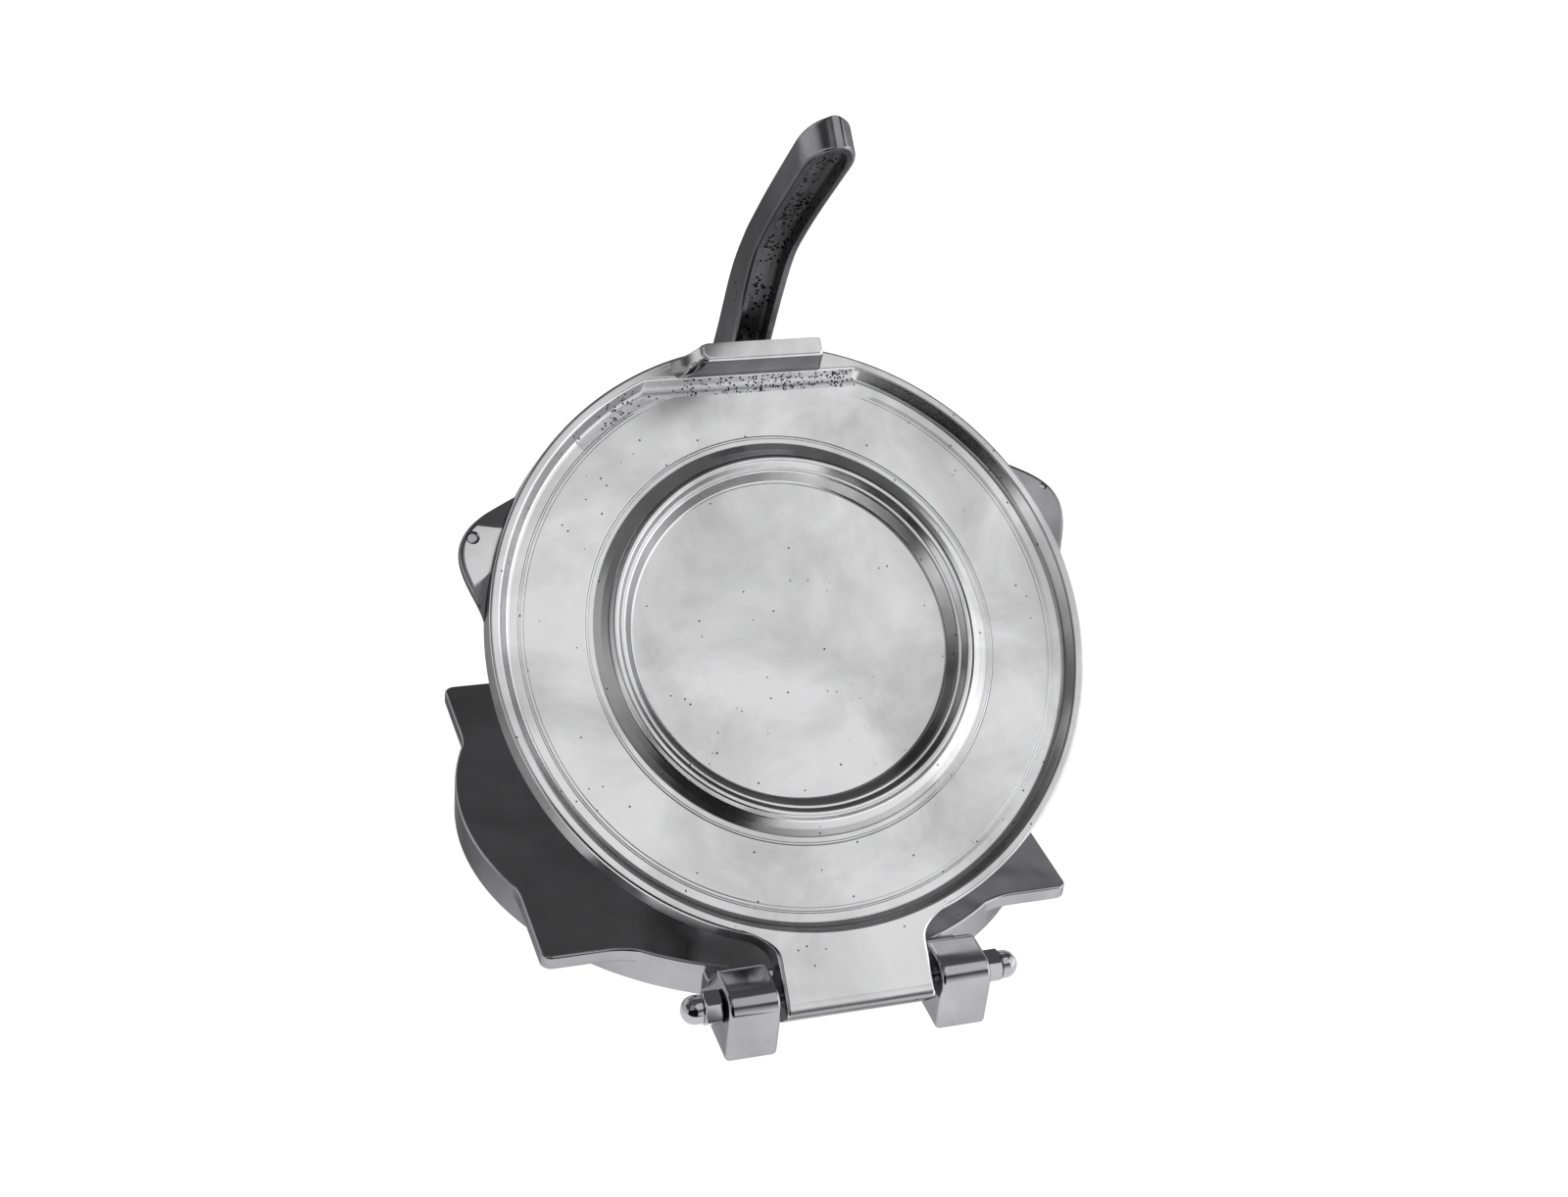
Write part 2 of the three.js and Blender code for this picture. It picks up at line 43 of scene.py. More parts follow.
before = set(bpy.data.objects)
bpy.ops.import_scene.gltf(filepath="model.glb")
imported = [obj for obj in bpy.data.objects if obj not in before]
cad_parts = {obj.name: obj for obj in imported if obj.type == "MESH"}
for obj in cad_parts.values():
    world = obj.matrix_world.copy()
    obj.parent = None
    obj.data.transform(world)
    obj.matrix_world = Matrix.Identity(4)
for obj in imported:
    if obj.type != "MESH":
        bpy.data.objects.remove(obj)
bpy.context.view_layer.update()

MM = 0.001
FRAME_SHIFT = -6.2  # the disc's middle lies this far from the frame's origin, along Y
HINGE = (0, -114, 15)  # middle of the plate's hinge
PIVOT = (3, 114, 21)  # middle of the lever's pivot
BORE = 3.3  # radius of the bores that the two rods pass through
EAR_INNER, EAR_OUTER = 7.8, 17.8  # distances of an ear's faces from the middle of the pivot
PLATE_AXIS = 1.7  # height of the hinge's axis above the plate's pressing face
PLATE_FLAT = 98.2  # distance of the plate's straight far end from its middle


# Sizes and colours that a user would change


def length(name, default, description):
    """A size in millimetres, shown as a length."""
    return FloatProperty(name=name, default=default, min=0.0, description=description)


def colour(name, value, description):
    """A colour given as an sRGB hex value."""
    return FloatVectorProperty(
        name=name, default=linear(value), size=3, subtype="COLOR", min=0, max=1, description=description
    )


def linear(value):
    """The linear red, green and blue of an sRGB hex value such as 'B4B4B6'."""
    shares = [int(value[i : i + 2], 16) / 255 for i in (0, 2, 4)]
    return tuple(c / 12.92 if c <= 0.04045 else ((c + 0.055) / 1.055) ** 2.4 for c in shares)


class PressBaseSizes(bpy.types.PropertyGroup):
    """Sizes of the base casting, in millimetres."""

    radius: length("Radius", 100.8, "Radius of the base disc")
    height: length("Height", 13.0, "Height of the base's flat top above the table")
    hollow: length("Hollow", 7.0, "Depth of the hollow underside")
    wall: length("Wall", 7.5, "Width of the foot ring round the hollow")
    wing_x: length("Wing half width", 91.2, "Distance of the wings' side edges from the middle")
    wing_y: length("Wing half length", 78.6, "Distance of the wings' end edges from the middle")
    wing_thickness: length("Wing thickness", 5.2, "Thickness of the four wings")
    lug_inner: length("Lug inner face", 26.7, "Distance of a hinge lug's inner face from the middle")
    lug_outer: length("Lug outer face", 43.5, "Distance of a hinge lug's outer face from the middle")


class PressPlateSizes(bpy.types.PropertyGroup):
    """Sizes of the top plate, in millimetres."""

    radius: length("Radius", 100.0, "Radius of the top plate")
    rim: length("Rim height", 9.5, "Height of the rim above the pressing face")
    panel: length("Panel height", 5.4, "Height of the flat panel above the pressing face")
    medallion: length("Medallion height", 3.0, "Height of the sunk middle above the pressing face")
    ledge: length("Ledge height", 8.2, "Height of the lever's ledge above the rim")
    tongue: length("Tongue half width", 24.7, "Half width of the hinge tongue")
    open_angle: FloatProperty(name="Open angle", default=42.3, description="Tilt of the plate at rest, in degrees")


class PressLeverSizes(bpy.types.PropertyGroup):
    """Sizes of the lever, in millimetres."""

    reach: length("Length", 290.0, "Length by which the lever's outline is scaled")
    width: length("Width", 14.0, "Width of the arm")
    tip_width: length("Tip width", 17.0, "Width of the round tip")
    tip_round: length("Tip round", 15.0, "Length over which the tip is rounded")
    rim: length("Channel rim", 2.6, "Width of the rim beside the open channel")
    channel: length("Channel depth", 5.5, "Depth of the open channel")


class PressNutSizes(bpy.types.PropertyGroup):
    """Sizes of a domed cap nut, in millimetres."""

    flats: length("Across flats", 10.2, "Width of the hexagon across its flats")
    hexagon: length("Hexagon height", 5.8, "Height of the hexagon")
    neck: length("Neck height", 2.2, "Height of the straight neck under the dome")
    dome: length("Dome radius", 4.6, "Radius of the dome")
    turn: FloatProperty(name="Turn", default=42.0, description="Turn of the hexagon about the rod, in degrees")


class PressFinish(bpy.types.PropertyGroup):
    """Colours of the finishes."""

    base: colour("Base", "A6A6A8", "Polished cast aluminium of the base")
    plate: colour("Plate", "CCCCCD", "Polished cast aluminium of the top plate")
    # The web's many pits are painted dark: painted shade in the corner under the ledge
    web: colour("Web", "B8B8BA", "Pitted metal in the corner under the ledge")
    # The lobe colour also paints shade on the tongue's end and the ledge's steep sides
    lobe: colour("Lobe", "909092", "Half buffed cast aluminium of the plate's two lobes")
    lever: colour("Lever", "868688", "Ground cast aluminium of the lever")
    # The channel's skin is mostly pits painted dark: painted shade in the sunk channel
    skin: colour("Sand cast skin", "8A8A8C", "Unground sand cast skin in the lever's channel")
    nut: colour("Nuts", "ACACB0", "Bright plated steel of the nuts and rods")
    floor: colour("Floor", "F4F4F4", "Plain pale floor")
    discs: IntProperty(name="Disc segments", default=288, description="Facets round a full disc")


# Mesh building, in millimetres


def soft(corners, closed=False, steps=5):
    """The points of a run of (x, y, radius) corners, each rounded to its radius."""
    points = [Vector(c[:2]) for c in corners]
    count = len(points)
    run = []
    for i, (_, _, radius) in enumerate(corners):
        here = points[i]
        if radius == 0 or (not closed and i in (0, count - 1)):
            run.append(here)
            continue
        back, ahead = points[i - 1] - here, points[(i + 1) % count] - here
        half = back.angle(ahead) / 2
        reach = min(radius / math.tan(half), 0.49 * back.length, 0.49 * ahead.length)
        radius = reach * math.tan(half)
        back.normalize()
        ahead.normalize()
        middle = here + (back + ahead).normalized() * (radius / math.sin(half))
        start = here + back * reach - middle
        turn = math.copysign(math.pi - 2 * half, ahead.x * back.y - ahead.y * back.x)
        for k in range(steps + 1):
            run.append(middle + Matrix.Rotation(turn * k / steps, 2) @ start)
    return np.array([tuple(p) for p in run])


def inset(outline, distance):
    """A closed counter-clockwise outline moved inwards by a distance."""
    ahead = np.roll(outline, -1, axis=0) - outline
    back = outline - np.roll(outline, 1, axis=0)
    normals = []
    for edge in (back, ahead):
        size = np.maximum(np.linalg.norm(edge, axis=1, keepdims=True), 1e-9)
        normals.append(np.c_[-edge[:, 1], edge[:, 0]] / size)
    both = normals[0] + normals[1]
    square = np.maximum((both**2).sum(axis=1, keepdims=True), 0.4)
    return outline + distance * 2 * both / square


def mesh_object(name, points, faces, material=None):
    """A mesh object with its faces turned outwards."""
    mesh = bpy.data.meshes.new(name)
    mesh.from_pydata([tuple(map(float, p)) for p in points], [], faces)
    form = bmesh.new()
    form.from_mesh(mesh)
    bmesh.ops.remove_doubles(form, verts=form.verts, dist=1e-5)
    bmesh.ops.dissolve_degenerate(form, edges=form.edges, dist=1e-6)
    bmesh.ops.recalc_face_normals(form, faces=form.faces)
    form.to_mesh(mesh)
    form.free()
    if material:
        mesh.materials.append(material)
    piece = bpy.data.objects.new(name, mesh)
    bpy.context.scene.collection.objects.link(piece)
    return piece


def lofted(name, rings, material=None):
    """A closed body through a run of rings that have as many points each, with flat ends."""
    count = len(rings[0])
    faces = []
    for i in range(len(rings) - 1):
        for j in range(count):
            a, b = i * count + j, i * count + (j + 1) % count
            faces.append((a, b, b + count, a + count))
    last = (len(rings) - 1) * count
    faces.append(tuple(range(count))[::-1])
    faces.append(tuple(range(last, last + count)))
    return mesh_object(name, np.vstack(rings), faces, material)


def turned(name, profile, segments, material=None):
    """A profile of (radius, height) points turned about Z, from the axis round to the axis."""
    angles = np.arange(segments) * 2 * math.pi / segments
    rings = [np.c_[r * np.cos(angles), r * np.sin(angles), np.full(segments, z)] for r, z in profile[1:-1]]
    points = np.vstack([*rings, [[0, 0, profile[0][1]]], [[0, 0, profile[-1][1]]]])
    faces = []
    for i in range(len(rings) - 1):
        for j in range(segments):
            a, b = i * segments + j, i * segments + (j + 1) % segments
            faces.append((a, b, b + segments, a + segments))
    last = (len(rings) - 1) * segments
    low = len(points) - 2
    for j in range(segments):
        k = (j + 1) % segments
        faces.append((low, k, j))
        faces.append((low + 1, last + j, last + k))
    return mesh_object(name, points, faces, material)


def raised(name, outline, low, high, edge, material=None, steps=4):
    """An outline raised between two heights, with both end edges rounded."""
    rings = []
    for k in range(steps + 1):
        turn = math.pi / 2 * k / steps
        flat = inset(outline, edge * (1 - math.sin(turn)))
        rings.append(np.c_[flat, np.full(len(flat), low + edge * (1 - math.cos(turn)))])
    tops = [ring.copy() for ring in rings[::-1]]
    for ring in tops:
        ring[:, 2] = low + high - ring[:, 2]
    return lofted(name, rings + tops, material)


def carried(name, outline, left, right, edge, material=None):
    """An outline drawn in the YZ plane and carried along X, with both end edges rounded."""
    piece = raised(name, outline, left, right, edge, material)
    piece.data.transform(Matrix(((0, 0, 1, 0), (1, 0, 0, 0), (0, 1, 0, 0), (0, 0, 0, 1))))
    return piece


def combine(body, tool, operation):
    """The body after a union, difference or cut with a tool, which is used up."""
    change = body.modifiers.new(operation.title(), "BOOLEAN")
    change.operation = operation
    change.solver = "EXACT"
    change.material_mode = "TRANSFER"
    change.object = tool
    bpy.context.view_layer.update()
    graph = bpy.context.evaluated_depsgraph_get()
    made = bpy.data.meshes.new_from_object(body.evaluated_get(graph))
    body.modifiers.clear()
    spent = body.data
    body.data = made
    bpy.data.meshes.remove(spent)
    mesh = tool.data
    bpy.data.objects.remove(tool)
    bpy.data.meshes.remove(mesh)
    return body


def bored(body, centre, half_length):
    """The body with a rod's bore along X through a centre."""
    drill = turned("drill", [(0, -half_length), (BORE, -half_length), (BORE, half_length), (0, half_length)], 48)
    drill.data.transform(Matrix.Translation(centre) @ Matrix.Rotation(math.pi / 2, 4, "Y"))
    return combine(body, drill, "DIFFERENCE")


def keep_flats(mesh, area=8 * MM**2, level=math.radians(0.2), angle=math.radians(1)):
    """Marks the border of each flat that is made of several faces as sharp, so that no fillet beside it shades it."""
    form = bmesh.new()
    form.from_mesh(mesh)
    joints = [e for e in form.edges if len(e.link_faces) == 2]
    flats = {f for e in joints if e.calc_face_angle() < level for f in e.link_faces if f.calc_area() > area}
    for edge in joints:
        if edge.calc_face_angle() > angle and not flats.isdisjoint(edge.link_faces):
            edge.smooth = False
    form.to_mesh(mesh)
    form.free()


def settle(piece, body, place, nodes=(), sharp=38, flats=False):
    """Sets a piece in the frame at rest, smooths it between its sharp edges and makes it ride on its body."""
    metres = Matrix.Scale(MM, 4) @ Matrix.Translation((0, FRAME_SHIFT, 0)) @ place
    piece.data.transform(metres)
    piece.data.polygons.foreach_set("use_smooth", [True] * len(piece.data.polygons))
    piece.data.set_sharp_from_angle(angle=math.radians(sharp))
    if flats:
        keep_flats(piece.data)
    even = piece.modifiers.new("Even shading", "WEIGHTED_NORMAL")
    even.keep_sharp = True
    piece.data.update()
    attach(piece, body)
    if nodes:
        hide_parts(*nodes)
    return piece


# Finishes


def add_node(tree, kind, settings=None, links=None):
    """A node with its settings, and links into its inputs."""
    node = tree.nodes.new(kind)
    for key, value in (settings or {}).items():
        if isinstance(key, int) or key in node.inputs:
            node.inputs[key].default_value = value
        else:
            setattr(node, key, value)
    for key, source in (links or {}).items():
        tree.links.new(source, node.inputs[key])
    return node


def cast_metal(name, tint, rough, wave, pit, pit_size, pit_share, grit, edge, cloudy):
    """Cast aluminium, hand finished: soft waves left by the polishing wheel, fine grit, cloudy tone and open pores.

    wave and pit are the spacings of the waves and of the pores in millimetres, pit_size is a pore's
    radius as a share of that spacing, pit_share the mean share of pores that are open, grit the depth
    of the grain in millimetres, edge the tint at grazing angles and cloudy the contrast of the tone.
    The pores are drawn coarser than the real ones, so that they show, and their colour is darkened almost to black:
    painted shade in the holes.
    """
    cloud_size, patch_size, smear_size, grain_size = (size * MM for size in (42, 16, 11, 0.9))
    wave_depth, pit_depth = 0.03 * wave * MM, 0.12 * pit * MM
    material = bpy.data.materials.new(name)
    material.use_nodes = True
    tree = material.node_tree
    tree.nodes.clear()
    place = add_node(tree, "ShaderNodeTexCoord").outputs["Object"]
    cloud = add_node(
        tree,
        "ShaderNodeTexNoise",
        {"Scale": 1 / cloud_size, "Detail": 4.0, "Roughness": 0.55, "Distortion": 0.5},
        {"Vector": place},
    )
    shade = add_node(tree, "ShaderNodeValToRGB", links={"Fac": cloud.outputs["Fac"]})
    low, high = shade.color_ramp.elements
    low.position, high.position = 0.36, 0.64
    low.color = (*[c * (1 - cloudy) for c in tint], 1)
    high.color = (*[min(c * (1 + 0.7 * cloudy), 1) for c in tint], 1)
    pores = add_node(
        tree,
        "ShaderNodeTexVoronoi",
        {"Scale": 1 / (pit * MM), "Randomness": 1.0},
        {"Vector": place},
    )
    chosen = add_node(tree, "ShaderNodeSeparateColor", links={"Color": pores.outputs["Color"]})
    patches = add_node(
        tree,
        "ShaderNodeTexNoise",
        {"Scale": 1 / patch_size, "Detail": 3.0},
        {"Vector": place},
    )
    share = add_node(
        tree,
        "ShaderNodeMapRange",
        {"From Min": 0.38, "From Max": 0.62, "To Min": 0.0, "To Max": 2 * pit_share},
        {"Value": patches.outputs["Fac"]},
    )
    some = add_node(
        tree,
        "ShaderNodeMath",
        {"operation": "LESS_THAN"},
        {0: chosen.outputs[0], 1: share.outputs["Result"]},
    )
    round_pit = add_node(
        tree,
        "ShaderNodeMapRange",
        {"From Min": 0.8 * pit_size, "From Max": pit_size, "To Min": 1.0, "To Max": 0.0},
        {"Value": pores.outputs["Distance"]},
    )
    depth = add_node(
        tree,
        "ShaderNodeMath",
        {"operation": "MULTIPLY"},
        {0: some.outputs[0], 1: round_pit.outputs["Result"]},
    )
    # Painted shade: the open pores' colour is darkened to a twentieth of the tint, standing in for the shade inside the
    # holes
    painted_pit_shade = add_node(
        tree,
        "ShaderNodeMix",
        {"data_type": "RGBA", 7: (*[c * 0.05 for c in tint], 1)},
        {0: depth.outputs[0], 6: shade.outputs["Color"]},
    )
    smear = add_node(
        tree,
        "ShaderNodeTexNoise",
        {"Scale": 1 / smear_size, "Detail": 6.0, "Roughness": 0.6},
        {"Vector": place},
    )
    gloss = add_node(
        tree,
        "ShaderNodeMapRange",
        {"From Min": 0.3, "From Max": 0.7, "To Min": rough * 0.85, "To Max": rough * 1.2},
        {"Value": smear.outputs["Fac"]},
    )
    waves = add_node(
        tree,
        "ShaderNodeTexNoise",
        {"Scale": 1 / (wave * MM), "Detail": 1.0, "Roughness": 0.4},
        {"Vector": place},
    )
    fine = add_node(
        tree,
        "ShaderNodeTexNoise",
        {"Scale": 1 / grain_size, "Detail": 4.0, "Roughness": 0.7},
        {"Vector": place},
    )
    polish = add_node(
        tree,
        "ShaderNodeBump",
        {"Strength": 1.0, "Distance": wave_depth},
        {"Height": waves.outputs["Fac"]},
    )
    ground = add_node(
        tree,
        "ShaderNodeBump",
        {"Strength": 1.0, "Distance": grit * MM},
        {"Height": fine.outputs["Fac"], "Normal": polish.outputs["Normal"]},
    )
    pitted = add_node(
        tree,
        "ShaderNodeBump",
        {"Strength": 1.0, "Distance": pit_depth, "invert": True},
        {"Height": depth.outputs[0], "Normal": ground.outputs["Normal"]},
    )
    shader = add_node(
        tree,
        "ShaderNodeBsdfPrincipled",
        {"Metallic": 1.0, "Specular Tint": (edge, edge, edge, 1)},
        {
            "Base Color": painted_pit_shade.outputs[2],
            "Roughness": gloss.outputs["Result"],
            "Normal": pitted.outputs["Normal"],
        },
    )
    add_node(tree, "ShaderNodeOutputMaterial", links={"Surface": shader.outputs["BSDF"]})
    return material


def finish_of(name):
    """The finish of that name, made the first time that it is asked for."""
    if name in bpy.data.materials:
        return bpy.data.materials[name]
    tints = bpy.context.scene.press_finish
    kinds = {
        # Sand cast aluminium, buffed on a wheel: a soft mirror with broad waves and a few pores
        "buffed_cast_aluminium_base": dict(
            tint=tints.base, rough=0.14, wave=20, pit=2, pit_size=0.22, pit_share=0.02,
            grit=0.002, edge=0.4, cloudy=0.16,
        ),
        # The same alloy, brighter and more cloudy where the flat panel was sanded before buffing
        "buffed_cast_aluminium_plate": dict(
            tint=tints.plate, rough=0.2, wave=34, pit=1.5, pit_size=0.22, pit_share=0.028,
            grit=0.004, edge=0.4, cloudy=0.21,
        ),
        # The same alloy in the corner under the ledge, where the wheel left the mould's pits open; about half its face
        # is pits, whose dark colour is painted shade in this corner
        "pitted_web_with_painted_shade": dict(
            tint=tints.web, rough=0.26, wave=24, pit=0.95, pit_size=0.42, pit_share=0.5,
            grit=0.01, edge=0.4, cloudy=0.2,
        ),
        # Ground on a belt and lightly buffed, so darker, with close waves
        "ground_cast_aluminium_lever": dict(
            tint=tints.lever, rough=0.19, wave=6, pit=2.2, pit_size=0.24, pit_share=0.03,
            grit=0.008, edge=0.36, cloudy=0.2,
        ),
        # The rough, pitted skin that the sand mould left in the channel, which no wheel reaches; about three quarters
        # of it is dark pits, painted shade that also darkens the sunk channel
        "sand_cast_skin_with_painted_shade": dict(
            tint=tints.skin, rough=0.42, wave=9, pit=1.4, pit_size=0.46, pit_share=0.75,
            grit=0.05, edge=0.8, cloudy=0.2,
        ),
        # Cast aluminium on the lobes, ground by hand and only half buffed, so greyer; this darker finish is also
        # painted shade on the tongue's end and the ledge's steep sides
        "half_buffed_lobe_and_painted_shade_aluminium": dict(
            tint=tints.lobe, rough=0.2, wave=12, pit=2.0, pit_size=0.24, pit_share=0.05,
            grit=0.006, edge=0.3, cloudy=0.24,
        ),
        # Bright zinc plated steel: a near mirror, hardly marked
        "bright_plated_steel": dict(
            tint=tints.nut, rough=0.12, wave=12, pit=4, pit_size=0.2, pit_share=0.0,
            grit=0.002, edge=1.0, cloudy=0.05,
        ),
    }  # fmt: skip
    return cast_metal(name, **kinds[name])


# Pieces


def lug_outline(side, reach, axis_height, ahead, crown, nose, toe, shoulder, rise, root):
    """Side outline of a lug, in the YZ plane: side is -1 at the near side and 1 at the far side."""
    base = bpy.context.scene.press_base
    slope, blend = 1.5, 6.0  # half the run of the slope down to the disc, and the rounds at its ends
    front, top = reach + ahead, axis_height + crown
    knee = reach - shoulder
    foot = knee - rise
    mid = (knee + foot) / 2
    corners = [
        (root, 0.0, 0),
        (front, 0.0, toe),
        (front, top, nose),
        (mid + slope, top, blend),
        (mid - slope, base.height, blend),
        (root, base.height, 0),
    ]
    run = soft([(side * y, z, r) for y, z, r in corners], closed=True, steps=7)
    return run if side > 0 else run[::-1]


def wing_outline():
    """Outline of one wing seen from above, with its root inside the disc."""
    base = bpy.context.scene.press_base

    def disc_at(offset):
        """Where a line parallel to an axis, at an offset from it, leaves the disc."""
        return math.sqrt(base.radius**2 - offset**2)

    side_blend, end_blend, overlap = 9, 13, 0.05
    side_y, end_x = disc_at(base.wing_x), disc_at(base.wing_y)
    side_foot, end_foot = side_y - side_blend, end_x - end_blend
    corners = [
        (disc_at(side_foot) - base.wall, side_foot, 0),
        (disc_at(side_foot) - overlap, side_foot, 0),
        (base.wing_x, side_y, 22.0),
        (base.wing_x, base.wing_y, 3.8),
        (end_x, base.wing_y, 26.0),
        (end_foot, disc_at(end_foot) - overlap, 0),
        (end_foot, disc_at(end_foot) - base.wall, 0),
    ]
    return soft(corners, closed=True, steps=9)


class PRESS_OT_base_casting(bpy.types.Operator):
    """Base casting: a disc with a hollow underside, four wings, two hinge lugs and the ears of the lever"""

    bl_idname = "press.base_casting"
    bl_label = "Base casting"

    def execute(self, context):
        size = context.scene.press_base
        metal = finish_of("buffed_cast_aluminium_base")
        inner = size.radius - size.wall
        profile = soft(
            [
                (0, size.hollow, 0),
                (inner - 1.6, size.hollow, 2.4),
                (inner, 0, 0.4),
                (size.radius, 0, 1.2),
                (size.radius, size.height, 0.9),
                (0, size.height, 0),
            ]
        )
        body = turned("base_casting", profile, context.scene.press_finish.discs, metal)
        outline = wing_outline()
        for sx in (1, -1):
            for sy in (1, -1):
                mirrored = outline * (sx, sy)
                if sx * sy < 0:
                    mirrored = mirrored[::-1]
                low = size.height - size.wing_thickness
                wing = raised("wing", mirrored, low, size.height - 0.004, 1.0, metal)
                body = combine(body, wing, "UNION")
        root = inner + 1
        lug = lug_outline(
            side=-1, reach=-HINGE[1], axis_height=HINGE[2], ahead=9.8, crown=8.4,
            nose=6.4, toe=1.8, shoulder=5, rise=12, root=root,
        )  # fmt: skip
        ear = lug_outline(
            side=1, reach=PIVOT[1], axis_height=PIVOT[2], ahead=10, crown=9.5,
            nose=8, toe=1.6, shoulder=5.5, rise=7, root=root,
        )  # fmt: skip
        spans = [
            (lug, size.lug_inner, size.lug_outer),
            (lug, -size.lug_outer, -size.lug_inner),
            (ear, PIVOT[0] + EAR_INNER, PIVOT[0] + EAR_OUTER),
            (ear, PIVOT[0] - EAR_OUTER, PIVOT[0] - EAR_INNER),
        ]
        side_edge = 1.5
        for run, left, right in spans:
            body = combine(body, carried("lug", run, left, right, side_edge, metal), "UNION")
        body = bored(body, HINGE, 60)
        body = bored(body, PIVOT, 30)
        settle(body, "base", Matrix.Identity(4), ["base_plate"])
        return {"FINISHED"}


def turning_lines(radii, height, half=0.22, deep=0.09):
    """Section points of fine grooves that the turning tool left round a flat."""
    line = []
    for r in radii:
        line += [(r + half, height, 0), (r, height - deep, 0), (r - half, height, 0)]
    return line


def plate_profile(size):
    """Section of the top plate from its axis: panel, ring and sunk medallion inside a raised rim."""
    outer, top = size.radius, size.rim
    return soft(
        [
            (0, 0, 0),
            (outer + 0.5, 0, 0.8),
            (outer, top, 1.0),
            (outer - 3.0, top, 1.4),
            (outer - 6.0, size.panel, 5.0),
            *turning_lines((outer - 9.4, outer - 10.1, outer - 11.2), size.panel),
            *turning_lines((68.9, 68.1), size.panel),
            (66.3, size.panel, 2.4),
            (64.0, 6.3, 1.0),
            (61.6, 7.5, 2.0),
            (60.3, 9.2, 0.9),
            (58.9, 9.2, 0.8),
            (57.4, 7.2, 0.5),
            (56.2, 7.0, 1.2),
            (53.4, size.medallion, 1.6),
            (0, size.medallion, 0),
        ]
    )


def tongue_piece(size, metal):
    """Hinge tongue: sections across X, from inside the rim to the round knuckle."""
    knuckle, hinge_y = 7.8, HINGE[1]
    nose = hinge_y - knuckle
    flare_end, flare_length, flare_width = -103.2, 8.0, 6.5  # where the tongue widens into the rim
    nose_edge = 2.2
    line_back, line_half, line_depth = 3.4, 0.45, 0.35  # the fine line across the top, near the nose
    stations = [-90, -92, -93.2, -94.4, -95.5, -96.5, -97.5, -98.5, -99.5, -100.6, -101.8, -103.2, -105, -106.2]
    for k in range(1, 15):
        stations.append(hinge_y - knuckle * math.cos(math.pi * k / 14))
    rings = []
    for y in sorted({round(s, 4) for s in stations}, reverse=True):
        flare = max(0.0, (y - flare_end) / flare_length)
        half = size.tongue + flare_width * min(flare, 1.5) ** 2
        under = PLATE_AXIS - math.sqrt(max(knuckle**2 - (y - hinge_y) ** 2, 0.0))
        low = min(0.02, under) if y > hinge_y else under
        bend = max(0.0, (nose + nose_edge - y) / nose_edge)
        top = size.rim - nose_edge * (1 - math.sqrt(max(1 - bend**2, 0.0)))
        groove = line_depth * math.exp(-(((y - nose - line_back) / line_half) ** 2))
        high = top - groove + 0.01
        ring = soft(
            [(-half, low, 0.9), (half, low, 0.9), (half, high, 1.2), (-half, high, 1.2)], closed=True, steps=4
        )
        rings.append(np.c_[ring[:, 0], np.full(len(ring), y), ring[:, 1]])
    return lofted("tongue", rings, metal)


def ledge_piece(size, metal):
    """Ledge for the lever: plan outlines that shrink as they rise, with a scooped left end and a square right end."""
    foot, top, back = size.rim, size.rim + size.ledge, PLATE_FLAT
    # height above the rim as a share of the ledge's, left end, front edge, right end
    steps = [
        (-0.3, -27.5, 89.5, 24.6), (0.0, -27.2, 89.6, 24.6), (0.06, -25.2, 89.9, 24.6), (0.16, -23.2, 90.3, 24.5),
        (0.35, -21.2, 90.7, 24.3), (0.6, -19.8, 91.2, 24.1), (0.8, -19.0, 91.6, 23.9), (0.9, -18.5, 91.9, 23.7),
        (0.96, -18.0, 92.3, 23.4), (1.0, -17.0, 93.1, 22.9),
    ]  # fmt: skip
    rings = []
    for share, left, front, right in steps:
        left_back = min(back, math.sqrt((size.radius - 0.5) ** 2 - left**2))
        ring = soft(
            [(left, left_back, 1.0), (left, front, 3.2), (right, front, 1.2), (right, back, 0.6)],
            closed=True,
            steps=6,
        )
        rings.append(np.c_[ring, np.full(len(ring), foot + (top - foot) * share)])
    return lofted("ledge", rings, metal)


